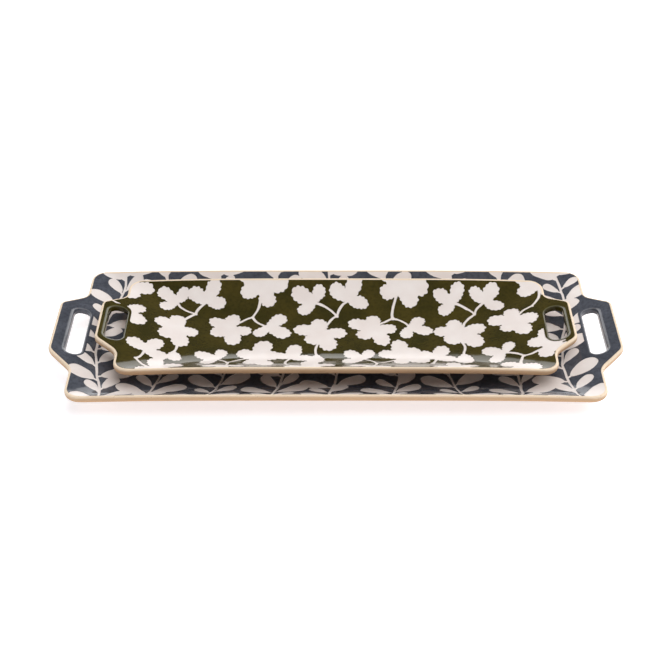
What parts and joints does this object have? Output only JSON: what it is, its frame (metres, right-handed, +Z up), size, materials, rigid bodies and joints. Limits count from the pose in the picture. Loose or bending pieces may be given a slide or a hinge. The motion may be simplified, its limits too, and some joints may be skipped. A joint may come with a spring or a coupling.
{
  "type": "serving tray",
  "caption": "Nested pair of long rectangular stoneware serving trays with shallow curved walls, an open handle at each end and stencilled floral glaze.",
  "frame": {"origin": "on the table plane, under the middle of both trays", "axes": "+X along the trays towards one handle, +Y across them, +Z up out of the dishes"},
  "size_m": [0.48, 0.1836, 0.0352],
  "materials": {
    "bare_stoneware": "matt, unglazed",
    "cream_slip": "satin cream slip",
    "navy_glaze": "gloss glaze",
    "olive_glaze": "gloss glaze"
  },
  "bodies": {
    "large_tray": {"large_tray_clay_body": "bare_stoneware", "large_tray_slip_coat": "cream_slip", "large_tray_glaze_coat": "navy_glaze"},
    "small_tray": {"small_tray_clay_body": "bare_stoneware", "small_tray_slip_coat": "cream_slip", "small_tray_glaze_coat": "olive_glaze"}
  },
  "joints": [
    {"name": "nest_lift", "type": "slide", "parent": "large_tray", "child": "small_tray", "axis": [0, 0, 1], "range_m": [0, 0.06]}
  ]
}
